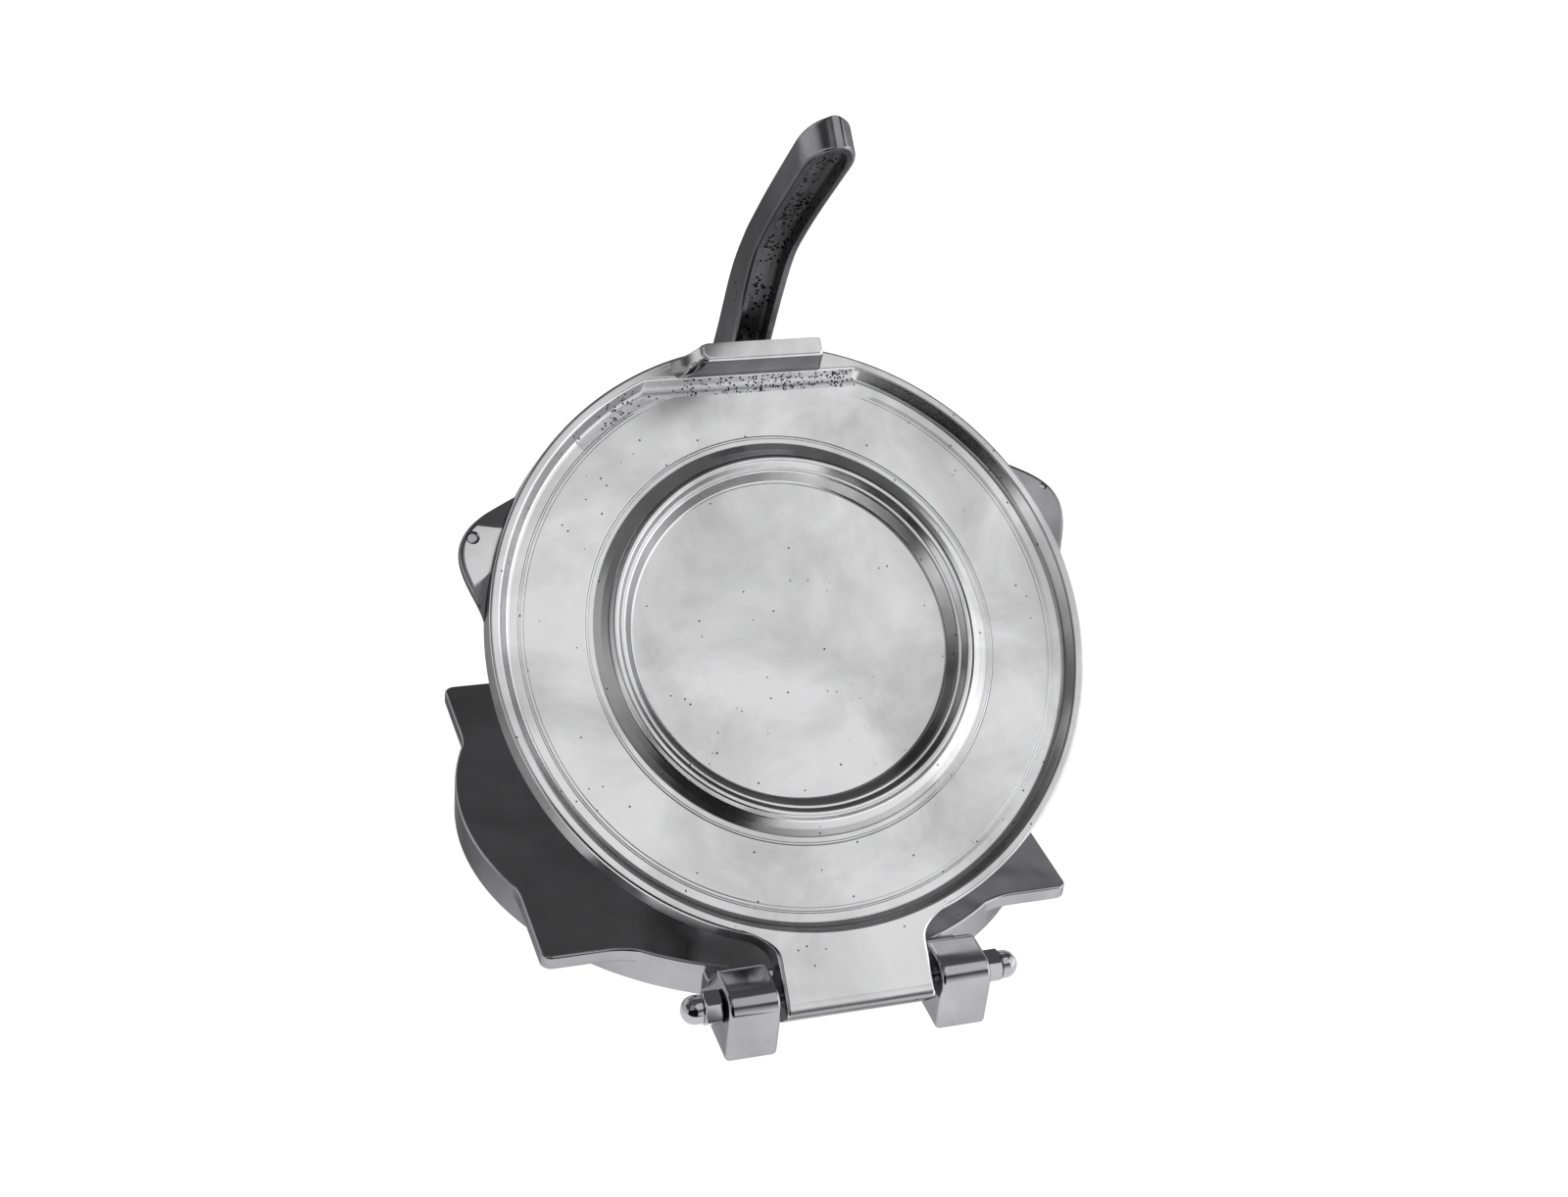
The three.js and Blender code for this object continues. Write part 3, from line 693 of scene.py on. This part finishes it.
class PRESS_OT_top_plate(bpy.types.Operator):
    """Top plate: a round plate with a raised rim, a ring, a bare medallion, a hinge tongue, a ledge and two lobes"""

    bl_idname = "press.top_plate"
    bl_label = "Top plate"

    def execute(self, context):
        size = context.scene.press_plate
        metal, skin = finish_of("buffed_cast_aluminium_plate"), finish_of("pitted_web_with_painted_shade")
        lobes, dark = finish_of("half_buffed_lobe_and_painted_shade_aluminium"), finish_of("buffed_cast_aluminium_base")
        discs = context.scene.press_finish.discs
        body = turned("top_plate_casting", plate_profile(size), discs, metal)
        for finish in (skin, lobes, dark):
            body.data.materials.append(finish)
        flat = np.array([(-60, PLATE_FLAT), (60, PLATE_FLAT), (60, 110), (-60, 110)], float)
        body = combine(body, raised("far_cut", flat, -2, 12, 0.01, metal), "DIFFERENCE")
        web = soft(
            [(98.0, 0.3, 0), (98.0, size.rim - 0.03, 0), (89.8, size.rim - 0.03, 1.4), (86.9, size.panel, 5.0),
             (80.0, size.panel - 0.05, 0), (80.0, 0.3, 0)],
            closed=True,
        )  # fmt: skip
        web_half, web_reach = 43, 98.2
        strip = carried("web", web, -web_half, web_half, 0.01, metal)
        drum = turned("drum", [(0, -1), (web_reach, -1), (web_reach, 20), (0, 20)], discs, metal)
        body = combine(body, combine(strip, drum, "INTERSECT"), "UNION")
        body = combine(body, ledge_piece(size, metal), "UNION")
        lobe_at, lobe_spread, lobe_reach, lobe_root = 21.5, 15, 11.4, 92  # degrees, degrees, then millimetres
        for side in (1, -1):
            turns = np.linspace(-1, 1, 41)
            angle = np.radians(lobe_at + turns * lobe_spread)
            radius = size.radius + lobe_reach * np.cos(turns * math.pi / 2) ** 2
            edge = np.c_[radius * np.cos(angle), radius * np.sin(angle)]
            root = np.array([[lobe_root * math.cos(a), lobe_root * math.sin(a)] for a in (angle[-1], angle[0])])
            outline = np.vstack([edge, root]) * (side, 1)
            if side < 0:
                outline = outline[::-1]
            lobe = raised("lobe", outline, 0.01, 4.4, 1.6, lobes, steps=6)
            if side < 0:
                lobe = self.faceted(lobe, metal, dark)
            pit_radius, pit_x, pit_y = (2.2, -99.5, 42.3) if side < 0 else (1.2, 99.0, 44.2)
            pit = turned("pit", [(0, -1), (pit_radius * 0.7, -0.8), (pit_radius, 0), (pit_radius, 3), (0, 3)], 32, dark)
            pit.data.transform(Matrix.Translation((pit_x, pit_y, 4.2)))
            lobe = combine(lobe, pit, "DIFFERENCE")
            body = combine(body, lobe, "UNION")
        inside = size.radius - 1.7  # the tongue reaches this far into the rim
        crest = turned("crest", [(0, -20), (inside, -20), (inside, 20), (0, 20)], discs, metal)
        body = combine(body, combine(tongue_piece(size, metal), crest, "DIFFERENCE"), "UNION")
        body = bored(body, (0, HINGE[1], PLATE_AXIS), 40)
        self.finish_faces(body, size)
        place = (
            Matrix.Translation(HINGE)
            @ Matrix.Rotation(math.radians(size.open_angle), 4, "X")
            @ Matrix.Translation((0, -HINGE[1], -PLATE_AXIS))
        )
        settle(body, "plate", place, ["top_plate"], flats=True)
        return {"FINISHED"}

    def faceted(self, lobe, metal, dark):
        """The left lobe: its middle is flat and bright, with darker flanks ground towards its ends."""
        block = np.array([(-40, -40), (40, -40), (40, 40), (-40, 40)], float)
        # where a flank starts on the lobe's top, its heading and its slope, in degrees
        for start, heading, slope in (((-97, 46), -12, 17), ((-101, 27), 32, -16)):
            ground = raised("flank", block, 0, 30, 0.01, dark)
            spin = Matrix.Rotation(math.radians(heading), 4, "Z") @ Matrix.Rotation(math.radians(-slope), 4, "X")
            ground.data.transform(Matrix.Translation((*start, 4.4)) @ spin)
            lobe = combine(lobe, ground, "DIFFERENCE")
        kinds = [m.name for m in lobe.data.materials]
        lobe.data.materials.append(metal)
        for face in lobe.data.polygons:
            if face.normal.z > 0.999 and kinds[face.material_index] == "half_buffed_lobe_and_painted_shade_aluminium":
                face.material_index = len(kinds)
        return lobe

    def finish_faces(self, body, size):
        """Dark open pores along the web's foot and the cove's far left, partly painted shade in those hollows, and
        painted shade on the tongue's end and the ledge's steep sides, which take the darker lobe finish.
        """
        mesh = body.data
        kinds = {name: i for i, name in enumerate(m.name for m in mesh.materials)}
        for face in mesh.polygons:
            x, y, z = face.center
            radius, angle = math.hypot(x, y), math.degrees(math.atan2(y, x))
            # The web's foot and the cove's far left take the pitted web finish: real pits, whose darkened colour is
            # painted shade in these hollows
            low = size.panel - 0.2 < z < size.rim - 1.2
            if low and ((-36 < x < 24 and 84.5 < y < 90.2) or (107 < angle < 131 and 90.2 < radius < 96.8)):
                face.material_index = kinds["pitted_web_with_painted_shade"]
            # Painted shade: the tongue's end face and the ledge's steep faces, picked by which way they face, take the
            # darker lobe finish
            elif y < -114 and face.normal.y < -0.45:
                face.material_index = kinds["half_buffed_lobe_and_painted_shade_aluminium"]
            elif abs(x) < 26 and 89.4 < y < 93 and z > size.rim + 0.2 and face.normal.z < 0.6:
                face.material_index = kinds["half_buffed_lobe_and_painted_shade_aluminium"]


# The lever's front and back edges at its stations from foot to tip, as shares of its length, from its pivot
LEVER_FRONT = [
    (-0.018, 0.029), (0, 0.043), (0.009, 0.055), (-0.014, 0.086), (-0.059, 0.141),
    (-0.114, 0.221), (-0.164, 0.303), (-0.207, 0.386), (-0.24, 0.465), (-0.271, 0.557),
    (-0.294, 0.616), (-0.319, 0.653), (-0.36, 0.702), (-0.433, 0.782), (-0.46, 0.811),
]  # fmt: skip
LEVER_BACK = [
    (0.024, -0.024), (0.053, -0.005), (0.074, 0.028), (0.06, 0.088), (-0.009, 0.178),
    (-0.063, 0.255), (-0.114, 0.33), (-0.156, 0.41), (-0.187, 0.486), (-0.222, 0.577),
    (-0.258, 0.636), (-0.29, 0.676), (-0.333, 0.726), (-0.406, 0.807), (-0.433, 0.836),
]  # fmt: skip


def spline(points, share):
    """The point at a share of a smooth curve that passes evenly through all the points."""
    run = np.array(points, float)
    at = min(max(share, 0.0), 1.0) * (len(run) - 1)
    i = min(int(at), len(run) - 2)
    t = at - i
    a, b, c, d = run[max(i - 1, 0)], run[i], run[i + 1], run[min(i + 2, len(run) - 1)]
    m, n = (c - a) / 2, (d - b) / 2
    return (
        (2 * t**3 - 3 * t**2 + 1) * b + (t**3 - 2 * t**2 + t) * m + (3 * t**2 - 2 * t**3) * c + (t**3 - t**2) * n
    )


def bar_ring(front, back, half, fore, aft, steps=3):
    """A ring round a bar between a front and a back point of the YZ plane."""
    depth = float(np.linalg.norm(back - front))
    inward = (back - front) / depth
    fore, aft = min(fore, half / 2), min(aft, half / 2)
    ring = soft(
        [(-half, 0, fore), (half, 0, fore), (half, depth, aft), (-half, depth, aft)], closed=True, steps=steps
    )
    return np.array([(x, *(front + inward * into)) for x, into in ring])


class PRESS_OT_lever(bpy.types.Operator):
    """Lever: a bent bar with a boss at its foot, a round tip and an open channel with a sand cast floor"""

    bl_idname = "press.lever"
    bl_label = "Lever"

    def execute(self, context):
        size = context.scene.press_lever
        metal, skin = finish_of("ground_cast_aluminium_lever"), finish_of("sand_cast_skin_with_painted_shade")
        half, tip = size.width / 2, size.tip_width / 2
        flare_from, channel_from = 0.58, 0.24  # shares of the lever's stations
        boss_radius = 10
        scaled = [np.array(run) * size.reach for run in (LEVER_FRONT, LEVER_BACK)]

        def ends(t):
            return spline(scaled[0], t), spline(scaled[1], t)

        def half_at(t):
            return half + (tip - half) * max(t - flare_from, 0) / (1 - flare_from)

        shares = np.linspace(0, 1, 400)
        middle = np.array([sum(ends(t)) / 2 for t in shares])
        run = np.r_[0, np.cumsum(np.linalg.norm(np.diff(middle, axis=0), axis=1))]

        def share_at(distance):
            return float(np.interp(run[-1] - distance, run, shares))

        def round_end(distance, radius):
            return math.sqrt(max(1 - (max(radius - distance, 0) / radius) ** 2, 0))

        def stops(radius, count):
            return [radius * (1 - math.cos(math.pi * i / (2 * count))) for i in range(1, count + 1)]

        rings = []
        for t in np.linspace(0, share_at(size.tip_round), 110, endpoint=False):
            rings.append(bar_ring(*ends(t), half_at(t), 1.3, 1.6))
        for distance in stops(size.tip_round, 18)[::-1]:
            t = share_at(distance)
            rings.append(bar_ring(*ends(t), half_at(t) * round_end(distance, size.tip_round), 1.3, 1.6))
        body = lofted("lever_casting", rings, metal)
        body.data.materials.append(skin)
        flank = half - 0.04  # a hair inside the bar's sides, so that the two join cleanly
        section = [(0, -flank, 0), (boss_radius, -flank, 1.2), (boss_radius, flank, 1.2), (0, flank, 0)]
        boss = turned("boss", soft(section), 96, metal)
        boss.data.transform(Matrix.Rotation(math.pi / 2, 4, "Y"))
        body = combine(body, boss, "UNION")

        groove = []
        low_end = run[-1] - float(np.interp(channel_from, shares, run))
        foot_r, tip_r = half - size.rim, size.tip_round - size.rim
        high_end = size.rim + 0.6

        def add_groove(distance, width):
            front, back = ends(share_at(distance))
            inward = (back - front) / np.linalg.norm(back - front)
            groove.append(bar_ring(front - inward * 2, front + inward * size.channel, width, 0.02, 1.8))

        for distance in stops(foot_r, 8):
            add_groove(low_end - distance, foot_r * round_end(distance, foot_r))
        for distance in np.linspace(low_end - foot_r, high_end + tip_r, 80)[1:-1]:
            add_groove(distance, half_at(share_at(distance)) - size.rim)
        for distance in stops(tip_r, 14)[::-1]:
            at = high_end + distance
            add_groove(at, (half_at(share_at(at)) - size.rim) * round_end(distance, tip_r))
        body = combine(body, lofted("channel", groove, skin), "DIFFERENCE")
        body = bored(body, (0, 0, 0), 20)
        settle(body, "handle", Matrix.Translation(PIVOT), ["lever"])
        return {"FINISHED"}


def cap_nut(name, metal):
    """A domed cap nut along +Z, its seat at the origin: a chamfered hexagon, a thin washer line and a dome."""
    size = bpy.context.scene.press_nut
    corner = size.flats / 2 / math.cos(math.pi / 6)
    edge = [(corner * math.cos(a), corner * math.sin(a), 0.25) for a in np.arange(6) * math.pi / 3]
    hexagon = raised(name, soft(edge, closed=True, steps=3), 0, size.hexagon, 0.02, metal)
    chamfer = soft(
        [(0, -0.01, 0), (corner - 0.9, -0.01, 0.2), (corner + 0.1, 0.7, 0.2),
         (corner + 0.1, size.hexagon - 0.8, 0.2), (corner - 1.0, size.hexagon + 0.01, 0.2), (0, size.hexagon + 0.01, 0)]
    )
    nut = combine(hexagon, turned("chamfer", chamfer, 96), "INTERSECT")
    low = size.hexagon
    dome = [(0, low / 2, 0), (size.dome - 0.5, low / 2, 0), (size.dome - 0.5, low + 0.35, 0.1),
            (size.dome, low + 0.5, 0.2), (size.dome, low + size.neck, 0)]
    run = [tuple(p) for p in soft(dome)]
    for k in range(1, 13):
        turn = math.pi / 2 * k / 12
        run.append((size.dome * math.cos(turn) if k < 12 else 0.0, low + size.neck + size.dome * math.sin(turn)))
    return combine(nut, turned("dome", run, 96, metal), "UNION")


class PRESS_OT_cap_nuts(bpy.types.Operator):
    """Four domed cap nuts, two on each rod, with the rods' bright steel"""

    bl_idname = "press.cap_nuts"
    bl_label = "Cap nuts and rods"

    def execute(self, context):
        metal = finish_of("bright_plated_steel")
        turn = math.radians(context.scene.press_nut.turn)
        seat_gap = 0.3  # between a lug and its nut
        bolts = [("hinge", HINGE, context.scene.press_base.lug_outer), ("lever", PIVOT, EAR_OUTER)]
        for bolt, centre, reach in bolts:
            for side, label in ((-1, "left"), (1, "right")):
                nut = cap_nut(f"{bolt}_cap_nut_{label}", metal)
                place = (
                    Matrix.Translation((centre[0] + side * (reach + seat_gap), centre[1], centre[2]))
                    @ Matrix.Rotation(turn, 4, "X")
                    @ Matrix.Rotation(side * math.pi / 2, 4, "Y")
                )
                settle(nut, "base", place, [f"{bolt}_nut_{label}"], sharp=25)
            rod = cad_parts[f"{bolt}_rod"]
            rod.data.materials.clear()
            rod.data.materials.append(metal)
            rod.data.polygons.foreach_set("use_smooth", [True] * len(rod.data.polygons))
            rod.data.set_sharp_from_angle(angle=math.radians(38))
        return {"FINISHED"}


# Stage


def camera_turn(azimuth, elevation, roll):
    """The camera's axes as a rotation, for a view from the left of the front, from above, slightly rolled."""
    a, e, r = (math.radians(x) for x in (azimuth, elevation, roll))
    ahead = Vector((math.sin(a) * math.cos(e), math.cos(a) * math.cos(e), -math.sin(e)))
    right = Vector((math.cos(a), -math.sin(a), 0))
    up = right.cross(ahead)
    right, up = right * math.cos(r) + up * math.sin(r), up * math.cos(r) - right * math.sin(r)
    return Matrix((right, up, -ahead)).transposed().to_4x4()


class PRESS_OT_stage(bpy.types.Operator):
    """Pale floor, soft lamps, world and the camera at the photograph's viewing angle"""

    bl_idname = "press.stage"
    bl_label = "Stage"

    def execute(self, context):
        scene = context.scene
        scene.view_settings.view_transform = "Standard"
        lens = bpy.data.cameras.new("camera")
        lens.lens, lens.sensor_width = 54.633, 36.0
        lens.clip_start, lens.clip_end = 0.01, 100.0
        camera = bpy.data.objects.new("camera", lens)
        place = Matrix.Translation(Vector((-244.96, -641.13 + FRAME_SHIFT, 502.48)) * MM)
        camera.matrix_world = place @ camera_turn(azimuth=21.53, elevation=31.0, roll=6.17)
        scene.collection.objects.link(camera)
        scene.camera = camera
        self.floor(scene)
        # A black card seen only in the metal: a painted dark reflection
        self.card()
        self.world(scene)
        # name, direction from the press, distance, width and height, radiance
        lamps = [
            ("key", (0.33, -0.47, 0.82), 1.5, (1.25, 1.1), 0.88),
            ("right", (0.97, -0.3, 0.36), 1.5, (1.5, 1.2), 1.15),
            ("left", (-0.5, -0.45, 0.74), 1.6, (0.8, 1.2), 0.34),
            ("back", (0.55, 0.8, 0.62), 1.9, (0.9, 0.3), 0.3),
            ("back left", (-0.62, 0.72, 0.5), 1.6, (1.0, 0.8), 0.5),
        ]
        for lamp in lamps:
            self.lamp(*lamp)
        return {"FINISHED"}

    def lamp(self, name, direction, distance, size, radiance):
        """A soft box that looks at the object and shows in the metal at about its radiance."""
        middle = Vector((0, -0.035, 0.085))
        light = bpy.data.lights.new(name, "AREA")
        light.shape = "RECTANGLE"
        light.size, light.size_y = size
        light.energy = radiance * math.pi * size[0] * size[1]
        lamp = bpy.data.objects.new(name, light)
        direction = Vector(direction).normalized()
        turn = (-direction).to_track_quat("-Z", "Y").to_matrix().to_4x4()
        lamp.matrix_world = Matrix.Translation(middle + direction * distance) @ turn
        bpy.context.scene.collection.objects.link(lamp)

    def floor(self, scene):
        """A wide round floor, white to the camera and in the metal, that keeps the object's shadow.

        In the metal it is painted dimmer at the back left, near the press: a painted shadow of the press, seen only in
        reflections.
        """
        painted_shadow_side, turn_start, turn_end, dim = (-0.6, 0.8, 0), -0.02, 0.05, 0.25
        dim_to, bright_from, glow_level = 0.5, 1.2, 0.86
        form = bmesh.new()
        bmesh.ops.create_circle(form, cap_ends=True, segments=96, radius=12.0)
        mesh = bpy.data.meshes.new("floor")
        form.to_mesh(mesh)
        form.free()
        floor = bpy.data.objects.new("floor", mesh)
        floor.location.z = -0.0002
        scene.collection.objects.link(floor)
        material = bpy.data.materials.new("matt_white_floor")
        material.use_nodes = True
        tree = material.node_tree
        tree.nodes.clear()
        path = add_node(tree, "ShaderNodeLightPath")
        place = add_node(tree, "ShaderNodeTexCoord").outputs["Object"]
        # Painted shadow: glossy rays see the floor darkened at the back left, near the press
        aside = add_node(tree, "ShaderNodeVectorMath", {"operation": "DOT_PRODUCT", 1: painted_shadow_side}, {0: place})
        shade = add_node(
            tree,
            "ShaderNodeMapRange",
            {"From Min": turn_start, "From Max": turn_end, "To Min": 1.0, "To Max": dim},
            {"Value": aside.outputs["Value"]},
        )
        away = add_node(tree, "ShaderNodeVectorMath", {"operation": "LENGTH"}, {0: place})
        far = add_node(
            tree,
            "ShaderNodeMapRange",
            {"From Min": dim_to, "From Max": bright_from, "To Min": 0.0, "To Max": 1.0},
            {"Value": away.outputs["Value"]},
        )
        painted_shadow_factor = add_node(
            tree,
            "ShaderNodeMath",
            {"operation": "MAXIMUM"},
            {0: shade.outputs["Result"], 1: far.outputs["Result"]},
        )
        mirrored = add_node(
            tree,
            "ShaderNodeMath",
            {"operation": "MULTIPLY"},
            {0: path.outputs["Is Glossy Ray"], 1: painted_shadow_factor.outputs[0]},
        )
        seen = add_node(
            tree,
            "ShaderNodeMath",
            {"operation": "MAXIMUM"},
            {0: path.outputs["Is Camera Ray"], 1: mirrored.outputs[0]},
        )
        clear = add_node(
            tree,
            "ShaderNodeMath",
            {"operation": "MAXIMUM"},
            {0: seen.outputs[0], 1: path.outputs["Is Transmission Ray"]},
        )
        level = add_node(tree, "ShaderNodeMath", {"operation": "MULTIPLY", 1: glow_level}, {0: clear.outputs[0]})
        matt = add_node(tree, "ShaderNodeBsdfDiffuse", {"Color": (*scene.press_finish.floor, 1)})
        glow = add_node(tree, "ShaderNodeEmission", {"Color": (1, 1, 1, 1)}, {"Strength": level.outputs[0]})
        both = add_node(tree, "ShaderNodeAddShader", links={0: matt.outputs[0], 1: glow.outputs[0]})
        add_node(tree, "ShaderNodeOutputMaterial", links={"Surface": both.outputs[0]})
        mesh.materials.append(material)

    def card(self):
        """A folded black card that lies and stands low at the left of the front, seen in the metal alone, where it
        paints a dark reflection.
        """
        left, right, near, fold, high = -0.55, -0.01, -0.185, -0.34, 0.22
        fold_line = [(left, fold, 0.0), (right, fold, 0.0)]
        corners = [(left, near, 0.0), (right, near, 0.0), *fold_line[::-1], (left, fold, high), (right, fold, high)]
        mesh = bpy.data.meshes.new("painted_reflection_card")
        mesh.from_pydata(corners, [], [(0, 1, 2, 3), (3, 2, 5, 4)])
        material = bpy.data.materials.new("matt_painted_reflection_card")
        material.use_nodes = True
        tree = material.node_tree
        tree.nodes.clear()
        matt = add_node(tree, "ShaderNodeBsdfDiffuse", {"Color": (0.02, 0.02, 0.02, 1)})
        add_node(tree, "ShaderNodeOutputMaterial", links={"Surface": matt.outputs[0]})
        mesh.materials.append(material)
        card = bpy.data.objects.new("painted_reflection_card", mesh)
        card.visible_camera = card.visible_diffuse = card.visible_shadow = card.visible_transmission = False
        bpy.context.scene.collection.objects.link(card)

    def world(self, scene):
        """A white backdrop near the horizon under a dark studio ceiling."""
        world = bpy.data.worlds.new("studio")
        world.use_nodes = True
        tree = world.node_tree
        tree.nodes.clear()
        place = add_node(tree, "ShaderNodeTexCoord")
        parts = add_node(tree, "ShaderNodeSeparateXYZ", links={0: place.outputs["Generated"]})
        ramp = add_node(tree, "ShaderNodeValToRGB", links={"Fac": parts.outputs["Z"]})
        horizon, ceiling = ramp.color_ramp.elements
        horizon.position, horizon.color = 0.1, (1, 1, 1, 1)
        ceiling.position, ceiling.color = 0.46, (0.1, 0.1, 0.102, 1)
        ramp.color_ramp.elements.new(1.0).color = (0.16, 0.16, 0.162, 1)
        path = add_node(tree, "ShaderNodeLightPath")
        seen = add_node(
            tree,
            "ShaderNodeMix",
            {"data_type": "RGBA", 7: (1, 1, 1, 1)},
            {0: path.outputs["Is Camera Ray"], 6: ramp.outputs["Color"]},
        )
        sky = add_node(tree, "ShaderNodeBackground", {"Strength": 1.0}, {"Color": seen.outputs[2]})
        add_node(tree, "ShaderNodeOutputWorld", links={"Surface": sky.outputs[0]})
        scene.world = world


class PRESS_PT_pieces(bpy.types.Panel):
    """The press, piece by piece"""

    bl_label = "Tortilla Press"
    bl_idname = "PRESS_PT_pieces"
    bl_space_type = "VIEW_3D"
    bl_region_type = "UI"
    bl_category = "Tortilla Press"

    def draw(self, context):
        for step in PIECES:
            self.layout.operator(step)
        for group in GROUPS:
            box = self.layout.box()
            box.label(text=GROUPS[group].__doc__)
            sizes = getattr(context.scene, group)
            for key in GROUPS[group].__annotations__:
                box.prop(sizes, key)


PIECES = ["press.stage", "press.base_casting", "press.top_plate", "press.lever", "press.cap_nuts"]
GROUPS = {
    "press_base": PressBaseSizes,
    "press_plate": PressPlateSizes,
    "press_lever": PressLeverSizes,
    "press_nut": PressNutSizes,
    "press_finish": PressFinish,
}
OPERATORS = [
    PRESS_OT_stage,
    PRESS_OT_base_casting,
    PRESS_OT_top_plate,
    PRESS_OT_lever,
    PRESS_OT_cap_nuts,
    PRESS_PT_pieces,
]


def register():
    for name, group in GROUPS.items():
        bpy.utils.register_class(group)
        setattr(bpy.types.Scene, name, PointerProperty(type=group))
    for kind in OPERATORS:
        bpy.utils.register_class(kind)


def unregister():
    for kind in reversed(OPERATORS):
        bpy.utils.unregister_class(kind)
    for name, group in GROUPS.items():
        delattr(bpy.types.Scene, name)
        bpy.utils.unregister_class(group)


def main():
    register()
    for step in PIECES:
        family, name = step.split(".")
        getattr(getattr(bpy.ops, family), name)()


if __name__ == "__main__":
    main()
